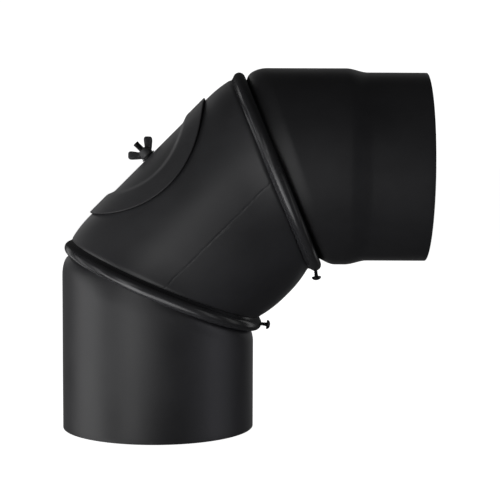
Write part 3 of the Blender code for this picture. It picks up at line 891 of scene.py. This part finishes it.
def cross_recess(placed):
    """Two crossed tapering slots, at 45 degrees to the screw's own axes."""
    length, width, depth = RECESS_SIZE
    recess = bmesh.new()
    for number in range(2):
        made = bmesh.ops.create_cube(recess, size=1.0)["verts"]
        for vert in made:
            narrow = RECESS_NARROWING if vert.co.z < 0 else 1.0
            vert.co = Vector((vert.co.x * length * narrow, vert.co.y * width, vert.co.z * depth))
        turn = Matrix.Rotation(number * math.pi / 2 + math.pi / 4, 3, "Z")
        bmesh.ops.rotate(recess, verts=made, matrix=turn)
    recess.transform(placed)
    mesh = bpy.data.meshes.new("recess")
    recess.to_mesh(mesh)
    recess.free()
    return mesh


# Materials

def node_material(name):
    material = bpy.data.materials.new(name)
    material.use_nodes = True
    return material, material.node_tree, material.node_tree.nodes["Principled BSDF"]


def noise_node(tree, coordinates, scale, detail, rough=0.5):
    texture = tree.nodes.new("ShaderNodeTexNoise")
    texture.inputs["Scale"].default_value = scale
    texture.inputs["Detail"].default_value = detail
    texture.inputs["Roughness"].default_value = rough
    tree.links.new(coordinates, texture.inputs["Vector"])
    return texture.outputs["Fac"]


def ramp(tree, factor, low, high, low_value, high_value):
    """Maps a factor between two limits on to two values."""
    span = tree.nodes.new("ShaderNodeMapRange")
    span.inputs["From Min"].default_value = low
    span.inputs["From Max"].default_value = high
    span.inputs["To Min"].default_value = low_value
    span.inputs["To Max"].default_value = high_value
    tree.links.new(factor, span.inputs["Value"])
    return span.outputs["Result"]


def mix_colour(tree, factor, first, second):
    mix = tree.nodes.new("ShaderNodeMix")
    mix.data_type = "RGBA"
    tree.links.new(factor, mix.inputs["Factor"])
    for socket, value in ((mix.inputs["A"], first), (mix.inputs["B"], second)):
        if isinstance(value, tuple):
            socket.default_value = (*value, 1.0)
        else:
            tree.links.new(value, socket)
    return mix.outputs["Result"]


def bump(tree, height, distance, strength, normal=None):
    node = tree.nodes.new("ShaderNodeBump")
    node.inputs["Distance"].default_value = distance
    node.inputs["Strength"].default_value = strength
    tree.links.new(height, node.inputs["Height"])
    if normal:
        tree.links.new(normal, node.inputs["Normal"])
    return node.outputs["Normal"]


def paint_material(name, colour, roughness, worn, texture=1.0):
    """Satin heat-resistant paint: fine orange peel, cloudy dust and lighter rubbed edges."""
    material, tree, shader = node_material(name)
    place = tree.nodes.new("ShaderNodeTexCoord").outputs["Object"]
    cloud = noise_node(tree, place, scale=16.0, detail=5.0, rough=0.6)
    speck = noise_node(tree, place, scale=1500.0, detail=2.0)
    peel = noise_node(tree, place, scale=420.0, detail=3.0)
    geometry = tree.nodes.new("ShaderNodeNewGeometry")
    edge = ramp(tree, geometry.outputs["Pointiness"], 0.53, 0.60, 0.0, 0.55)
    dusty = tuple(1.35 * c + 0.002 for c in colour)
    bright = tuple(2.2 * c for c in colour)
    tone = mix_colour(tree, ramp(tree, cloud, 0.35, 0.70, 0.0, 1.0), colour, dusty)
    tone = mix_colour(tree, ramp(tree, speck, 0.62, 0.75, 0.0, 0.5), tone, bright)
    tone = mix_colour(tree, edge, tone, worn)
    tree.links.new(tone, shader.inputs["Base Color"])
    rough = ramp(tree, cloud, 0.3, 0.7, roughness - 0.04, roughness + 0.05)
    tree.links.new(rough, shader.inputs["Roughness"])
    normal = bump(tree, speck, distance=0.00002, strength=0.35 * texture)
    normal = bump(tree, peel, distance=0.00005, strength=0.25 * texture, normal=normal)
    tree.links.new(normal, shader.inputs["Normal"])
    return material


def metal_material(name, colour, roughness, metallic, grain):
    """Plated or bare steel with fine random marks."""
    material, tree, shader = node_material(name)
    place = tree.nodes.new("ShaderNodeTexCoord").outputs["Object"]
    cloud = noise_node(tree, place, scale=180.0, detail=4.0, rough=0.6)
    fine = noise_node(tree, place, scale=grain, detail=3.0)
    darker = tuple(0.7 * c for c in colour)
    tone = mix_colour(tree, ramp(tree, cloud, 0.35, 0.65, 0.0, 1.0), darker, colour)
    geometry = tree.nodes.new("ShaderNodeNewGeometry")
    edge = ramp(tree, geometry.outputs["Pointiness"], 0.52, 0.62, 0.0, 0.6)
    tone = mix_colour(tree, edge, tone, tuple(2.5 * c + 0.01 for c in colour))
    tree.links.new(tone, shader.inputs["Base Color"])
    rough = ramp(tree, fine, 0.3, 0.7, roughness - 0.07, roughness + 0.08)
    tree.links.new(rough, shader.inputs["Roughness"])
    shader.inputs["Metallic"].default_value = metallic
    normal = bump(tree, fine, distance=0.00002, strength=0.4)
    tree.links.new(normal, shader.inputs["Normal"])
    return material


def fibre_material(name, colour):
    """Woven glass-fibre seal."""
    material, tree, shader = node_material(name)
    place = tree.nodes.new("ShaderNodeTexCoord").outputs["Object"]
    cloud = noise_node(tree, place, scale=90.0, detail=4.0, rough=0.6)
    strand = tree.nodes.new("ShaderNodeTexVoronoi")
    strand.inputs["Scale"].default_value = 1400.0
    tree.links.new(place, strand.inputs["Vector"])
    darker = tuple(0.6 * c for c in colour)
    tone = mix_colour(tree, ramp(tree, cloud, 0.3, 0.7, 0.0, 1.0), darker, colour)
    tree.links.new(tone, shader.inputs["Base Color"])
    shader.inputs["Roughness"].default_value = 0.95
    normal = bump(tree, strand.outputs["Distance"], distance=0.0002, strength=0.6)
    tree.links.new(normal, shader.inputs["Normal"])
    return material


# Studio

def area_light(name, azimuth, elevation, distance, size, power, colour=WHITE):
    """Rectangular soft box aimed at the object. Azimuth 0 is at the camera, 90 on its right."""
    a = math.radians(azimuth)
    e = math.radians(elevation)
    back = Vector((math.sin(a) * math.cos(e), -math.cos(a) * math.cos(e), math.sin(e)))
    light = bpy.data.lights.new(name, "AREA")
    light.shape = "RECTANGLE"
    light.size, light.size_y = size
    light.energy = power
    light.color = colour
    item = bpy.data.objects.new(name, light)
    item.location = VIEW_TARGET + back * distance
    item.rotation_mode = "QUATERNION"
    item.rotation_quaternion = (-back).to_track_quat("-Z", "Y")
    item.visible_camera = False
    bpy.context.scene.collection.objects.link(item)
    return item


def light_only(light, items, included=True):
    """Lets a light shine only on some pieces, or on everything but them."""
    group = bpy.data.collections.new(light.name + "_receivers")
    for item in items:
        group.objects.link(item)
    light.light_linking.receiver_collection = group
    if not included:
        for entry in group.collection_objects:
            entry.light_linking.link_state = "EXCLUDE"


def table_light(name, azimuth, distance, size, power):
    """Glow of the white table in front of the object, facing up."""
    item = area_light(name, azimuth, 0.0, distance, size, power)
    item.location.z = CAD_BOX[0].z + TABLE_LIGHT_LIFT
    item.rotation_quaternion = Matrix.Rotation(math.pi, 3, "X").to_quaternion()
    return item


def make_floor():
    """Pale table. Only the camera sees it, so light from below it still reaches the object."""
    shape = bmesh.new()
    bmesh.ops.create_grid(shape, x_segments=8, y_segments=8, size=FLOOR_SIZE)
    bmesh.ops.translate(shape, verts=shape.verts, vec=(0.0, 0.0, CAD_BOX[0].z - FLOOR_DROP))
    mesh = bpy.data.meshes.new("floor")
    shape.to_mesh(mesh)
    shape.free()
    floor = bpy.data.objects.new("floor", mesh)
    bpy.context.scene.collection.objects.link(floor)
    material, tree, shader = node_material("studio_white")
    shader.inputs["Base Color"].default_value = (0.82, 0.82, 0.82, 1.0)
    shader.inputs["Roughness"].default_value = 0.8
    shader.inputs["Specular IOR Level"].default_value = 0.0
    shader.inputs["Emission Color"].default_value = (1.0, 1.0, 1.0, 1.0)
    shader.inputs["Emission Strength"].default_value = FLOOR_GLOW
    mesh.materials.append(material)
    floor.visible_glossy = False
    floor.visible_diffuse = False
    floor.visible_shadow = False


def make_world():
    """White behind the object, and a dim even light on it."""
    world = bpy.data.worlds.new("studio")
    bpy.context.scene.world = world
    world.use_nodes = True
    tree = world.node_tree
    background = tree.nodes["Background"]
    background.inputs["Color"].default_value = (1.0, 1.0, 1.0, 1.0)
    path = tree.nodes.new("ShaderNodeLightPath")
    strength = tree.nodes.new("ShaderNodeMapRange")
    strength.inputs["To Min"].default_value = AMBIENT_GLOW
    strength.inputs["To Max"].default_value = BACKDROP_GLOW
    tree.links.new(path.outputs["Is Camera Ray"], strength.inputs["Value"])
    tree.links.new(strength.outputs["Result"], background.inputs["Strength"])


def make_camera():
    data = bpy.data.cameras.new("camera")
    data.lens = LENS
    data.sensor_width = SENSOR
    data.clip_start = 0.01
    camera = bpy.data.objects.new("camera", data)
    look = Vector((
        math.cos(VIEW_ELEVATION) * math.sin(VIEW_AZIMUTH),
        math.cos(VIEW_ELEVATION) * math.cos(VIEW_AZIMUTH),
        -math.sin(VIEW_ELEVATION),
    ))
    side = Vector((math.cos(VIEW_AZIMUTH), -math.sin(VIEW_AZIMUTH), 0.0))
    up = side.cross(look)
    right = side * math.cos(VIEW_ROLL) + up * math.sin(VIEW_ROLL)
    top = up * math.cos(VIEW_ROLL) - side * math.sin(VIEW_ROLL)
    turn = Matrix((right, top, -look)).transposed()
    place = Matrix.Translation(VIEW_TARGET - look * VIEW_DISTANCE)
    camera.matrix_world = place @ turn.to_4x4()
    bpy.context.scene.collection.objects.link(camera)
    bpy.context.scene.camera = camera


def dress(item, body, material, slot, *nodes):
    """Puts a finished piece on its body, in place of its CAD node."""
    item.data.materials.clear()
    item.data.materials.append(material)
    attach(item, body)
    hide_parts(*nodes)


def repaint(node, material):
    mesh = frame["nodes"][node].data
    mesh.materials.clear()
    mesh.materials.append(material)


def make_lights(beads, outlet):
    """Lights the object. The glossy beads of the rings have weaker lights of their own."""
    strip = (STRIP_ELEVATION, STRIP_DISTANCE, STRIP_SIZE)
    for name, azimuth, power, colour, on_outlet in STRIP_LIGHTS:
        unlit = beads if on_outlet else (*beads, outlet)
        light_only(area_light(name, azimuth, *strip, power, colour), unlit, included=False)
    for name, azimuth, power in RING_LIGHTS:
        light_only(area_light(name, azimuth, *strip, power), beads)
    for light in SOFT_LIGHTS:
        area_light(*light)
    for name, azimuth, elevation, size, power in BACK_LIGHTS:
        shape = (size, BACK_ASPECT * size)
        glow = area_light(name, azimuth, elevation, BACK_DISTANCE, shape, power)
        light_only(glow, beads, included=False)
    table_light("table", -30.0, 0.55, (0.5, 0.5), 0.76)
    light_only(table_light("table_on_rings", -55.0, 0.42, (0.70, 0.22), 1.0), beads)


WORN = (0.060, 0.060, 0.063)
paint = paint_material("stove_paint_satin", (0.022, 0.022, 0.024), 0.46, (0.055, 0.055, 0.058))
hatch_paint = paint_material("hatch_paint_satin", (0.026, 0.026, 0.028), 0.50, WORN)
ring_paint = paint_material("ring_paint_satin", (0.022, 0.022, 0.024), 0.24, WORN, 0.25)
black_steel = metal_material("black_oxide_steel", (0.010, 0.010, 0.011), 0.38, 0.3, 2600.0)
nut_steel = metal_material("cast_nut_steel", (0.085, 0.085, 0.088), 0.55, 0.3, 2600.0)
raw_steel = metal_material("mill_finish_steel", (0.30, 0.30, 0.31), 0.42, 1.0, 1800.0)
fibre = fibre_material("glass_fibre", (0.34, 0.33, 0.30))

make_camera()
dress(make_inlet(), "inlet", paint, "stove_paint", "inlet_pipe")
dress(make_middle(), "middle", paint, "stove_paint", "middle_pipe")
outlet_leg = make_outlet()
dress(outlet_leg, "outlet", paint, "stove_paint", "outlet_pipe")
lower_bead = make_ring("lower_bead", LOWER_JOINT, LOWER_SCREW, 1)
upper_bead = make_ring("upper_bead", UPPER_JOINT, UPPER_SCREW, -1)
dress(lower_bead, "middle", ring_paint, "ring_paint", "lower_swivel_ring")
dress(upper_bead, "middle", ring_paint, "ring_paint", "upper_swivel_ring")
dress(make_cover(), "hatch", hatch_paint, "hatch_paint", "hatch_cover")
dress(make_washer(), "hatch", black_steel, "black_steel", "hatch_washer")
dress(make_bolt(), "clamp", black_steel, "black_steel", "clamp_bolt")
dress(make_wing_nut(), "wing_nut", nut_steel, "black_steel", "wing_nut")
dress(
    make_screw("lower_pan_screw", LOWER_SCREW_STANDOFF, LOWER_SCREW),
    "lower_screw", black_steel, "black_steel", "lower_locking_screw",
)
dress(
    make_screw("upper_pan_screw", UPPER_SCREW_STANDOFF, UPPER_SCREW),
    "upper_screw", black_steel, "black_steel", "upper_locking_screw",
)
repaint("clamp_bridge", raw_steel)
for node in ("hatch_gasket", "lower_joint_seal", "upper_joint_seal"):
    repaint(node, fibre)

make_floor()
make_world()
make_lights((lower_bead, upper_bead), outlet_leg)
bpy.context.scene.view_settings.view_transform = "Standard"
